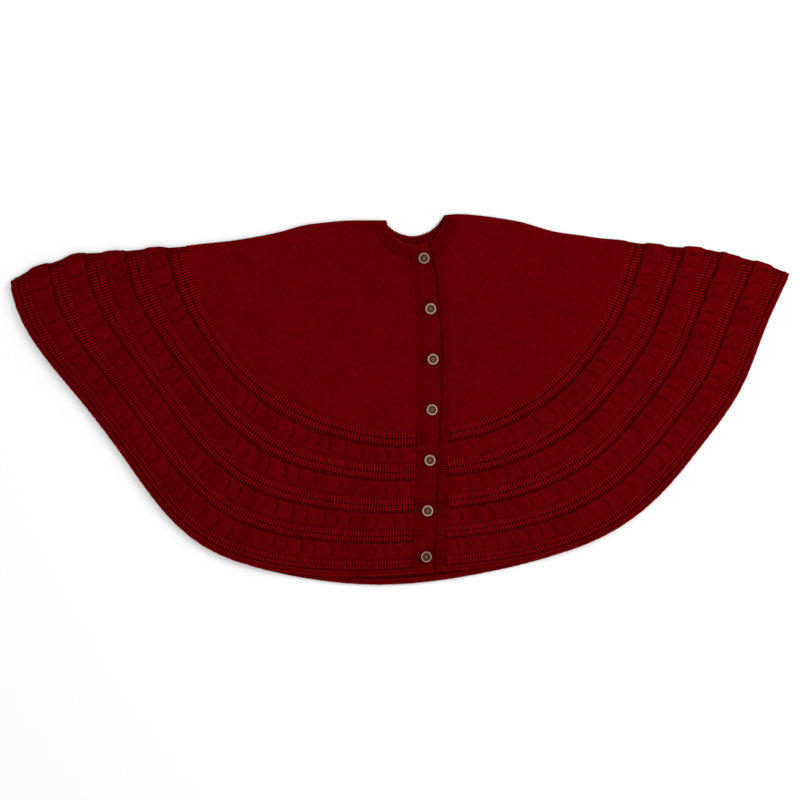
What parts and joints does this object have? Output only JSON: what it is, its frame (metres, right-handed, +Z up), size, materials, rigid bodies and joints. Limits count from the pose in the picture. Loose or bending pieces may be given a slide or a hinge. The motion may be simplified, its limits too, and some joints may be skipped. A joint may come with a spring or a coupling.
{
  "type": "tree skirt",
  "caption": "Round knitted tree skirt with cable bands and a buttoned front placket, lying flat and folded in half.",
  "frame": {"origin": "middle of the folded skirt's outline, on the surface that it lies on", "axes": "+X across the folded skirt, along its long side; +Y in the surface, towards the neck; +Z up, out of the front layer"},
  "size_m": [1.2194, 0.5772, 0.0164],
  "materials": {
    "yarn": "matte, fuzzy acrylic knit",
    "rib_yarn": "matte, ribbed acrylic knit",
    "button": "semi-gloss horn-like resin, tan rim, dark brown dish",
    "thread": "matte sewing yarn"
  },
  "bodies": {
    "back": {"back_panel": "yarn", "back_neckband": "rib_yarn"},
    "left_front": {"left_front_panel": "yarn", "left_neckband": "rib_yarn", "buttonhole_band": "rib_yarn"},
    "right_front": {"right_front_panel": "yarn", "right_neckband": "rib_yarn", "button_band": "rib_yarn"},
    "button_1": {"button_1": "button", "button_thread_1": "thread"},
    "button_2": {"button_2": "button", "button_thread_2": "thread"},
    "button_3": {"button_3": "button", "button_thread_3": "thread"},
    "button_4": {"button_4": "button", "button_thread_4": "thread"},
    "button_5": {"button_5": "button", "button_thread_5": "thread"},
    "button_6": {"button_6": "button", "button_thread_6": "thread"},
    "button_7": {"button_7": "button", "button_thread_7": "thread"}
  },
  "joints": [
    {"name": "left_fold", "type": "hinge", "parent": "back", "child": "left_front", "pos_m": [0.00732, 0.29947, 0.0042], "axis": [-0.9877, -0.1564, 0], "range_deg": [0, 165]},
    {"name": "right_fold", "type": "hinge", "parent": "back", "child": "right_front", "pos_m": [0.00732, 0.29947, 0.0042], "axis": [-0.9893, 0.1461, 0], "range_deg": [0, 82.5]},
    {"name": "button_1_tilt", "type": "hinge", "parent": "right_front", "child": "button_1", "pos_m": [0.03603, 0.21937, 0.0088], "axis": [1, 0, 0], "range_deg": [-15, 15], "stiffness_Nm_per_rad": 0.003},
    {"name": "button_2_tilt", "type": "hinge", "parent": "right_front", "child": "button_2", "pos_m": [0.04644, 0.14086, 0.0088], "axis": [1, 0, 0], "range_deg": [-15, 15], "stiffness_Nm_per_rad": 0.003},
    {"name": "button_3_tilt", "type": "hinge", "parent": "right_front", "child": "button_3", "pos_m": [0.05002, 0.06236, 0.0088], "axis": [1, 0, 0], "range_deg": [-15, 15], "stiffness_Nm_per_rad": 0.003},
    {"name": "button_4_tilt", "type": "hinge", "parent": "right_front", "child": "button_4", "pos_m": [0.04861, -0.01614, 0.0088], "axis": [1, 0, 0], "range_deg": [-15, 15], "stiffness_Nm_per_rad": 0.003},
    {"name": "button_5_tilt", "type": "hinge", "parent": "right_front", "child": "button_5", "pos_m": [0.0453, -0.09464, 0.0088], "axis": [1, 0, 0], "range_deg": [-15, 15], "stiffness_Nm_per_rad": 0.003},
    {"name": "button_6_tilt", "type": "hinge", "parent": "right_front", "child": "button_6", "pos_m": [0.04176, -0.17314, 0.0088], "axis": [1, 0, 0], "range_deg": [-15, 15], "stiffness_Nm_per_rad": 0.003},
    {"name": "button_7_tilt", "type": "hinge", "parent": "right_front", "child": "button_7", "pos_m": [0.03973, -0.24464, 0.0088], "axis": [1, 0, 0], "range_deg": [-15, 15], "stiffness_Nm_per_rad": 0.003}
  ],
  "couplings": [
    {"joint": "right_fold", "follows": "left_fold", "ratio": 0.5}
  ]
}
